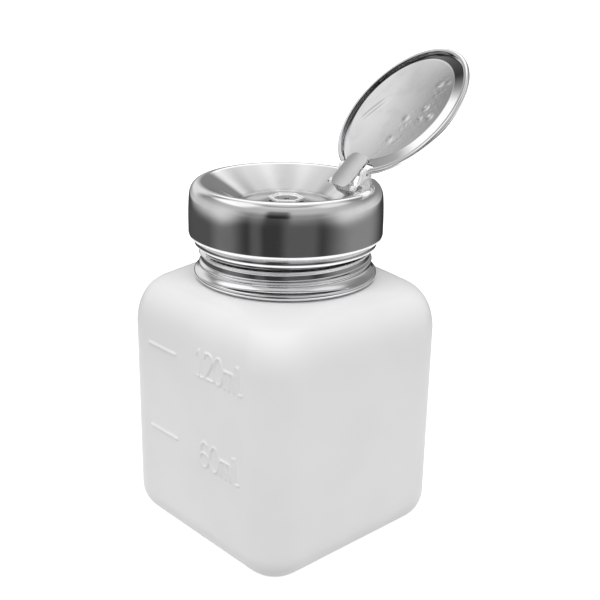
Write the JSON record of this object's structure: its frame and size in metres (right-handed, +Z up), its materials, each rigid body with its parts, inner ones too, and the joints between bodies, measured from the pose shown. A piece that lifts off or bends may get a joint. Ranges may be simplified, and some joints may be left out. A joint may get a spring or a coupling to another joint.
{
  "type": "nail polish remover pump",
  "caption": "Square white pump bottle with a screwed metal collar and a metal dish that wets a cotton pad when it is pressed down, under a hinged flip lid.",
  "frame": {"origin": "centre of the bottle's flat base", "axes": "+Z up along the neck, +X and +Y square to the bottle's sides, with the graduated side facing -Y and the lid's hinge towards +Y, turned a little towards +X"},
  "size_m": [0.056, 0.072, 0.1148],
  "materials": {
    "milky_plastic": "soft satin, blow-moulded",
    "white_plastic": "satin, injection-moulded",
    "tube_plastic": "smooth, extruded",
    "gasket": "matt",
    "polished_metal": "polished",
    "plain_steel": "smooth"
  },
  "bodies": {
    "bottle": {"bottle": "milky_plastic"},
    "pump": {"pump_housing": "white_plastic", "neck_gasket": "gasket", "guide_cap": "white_plastic", "ball_retainer": "white_plastic", "dip_tube": "tube_plastic"},
    "collar": {"screw_collar": "polished_metal"},
    "inlet_valve": {"inlet_ball": "plain_steel"},
    "spring": {"return_spring": "plain_steel"},
    "head": {"head_shell": "polished_metal", "head_insert": "white_plastic", "outlet_nozzle": "polished_metal", "pump_stem": "white_plastic", "piston": "white_plastic", "hinge_bracket": "white_plastic", "hinge_pin": "plain_steel"},
    "outlet_valve": {"outlet_ball": "plain_steel"},
    "lid": {"lid_cover": "polished_metal", "lid_plug": "polished_metal", "lid_leaf": "polished_metal"}
  },
  "joints": [
    {"name": "closure_lift", "type": "slide", "parent": "bottle", "child": "pump", "axis": [0, 0, 1], "range_m": [0, 0.0039]},
    {"name": "collar_turn", "type": "hinge", "parent": "pump", "child": "collar", "pos_m": [0, 0, 0.069], "axis": [0, 0, 1], "range_deg": [0, 539]},
    {"name": "inlet_lift", "type": "slide", "parent": "pump", "child": "inlet_valve", "axis": [0, 0, 1], "range_m": [0, 0.001]},
    {"name": "head_swivel", "type": "hinge", "parent": "pump", "child": "spring", "pos_m": [0, 0, 0.0525], "axis": [0, 0, 1], "continuous": true},
    {"name": "head_press", "type": "slide", "parent": "spring", "child": "head", "axis": [0, 0, -1], "range_m": [0, 0.004], "stiffness_N_per_m": 400, "springref_m": -0.01, "deforming": ["return_spring"]},
    {"name": "outlet_lift", "type": "slide", "parent": "head", "child": "outlet_valve", "axis": [0, 0, 1], "range_m": [0, 0.0004]},
    {"name": "lid_hinge", "type": "hinge", "parent": "head", "child": "lid", "pos_m": [0.00445, 0.01785, 0.0874], "axis": [0.9703, -0.2419, 0], "range_deg": [0, 133.5]}
  ],
  "couplings": [
    {"joint": "closure_lift", "follows": "collar_turn", "m_per_rad": 0.0004138}
  ]
}
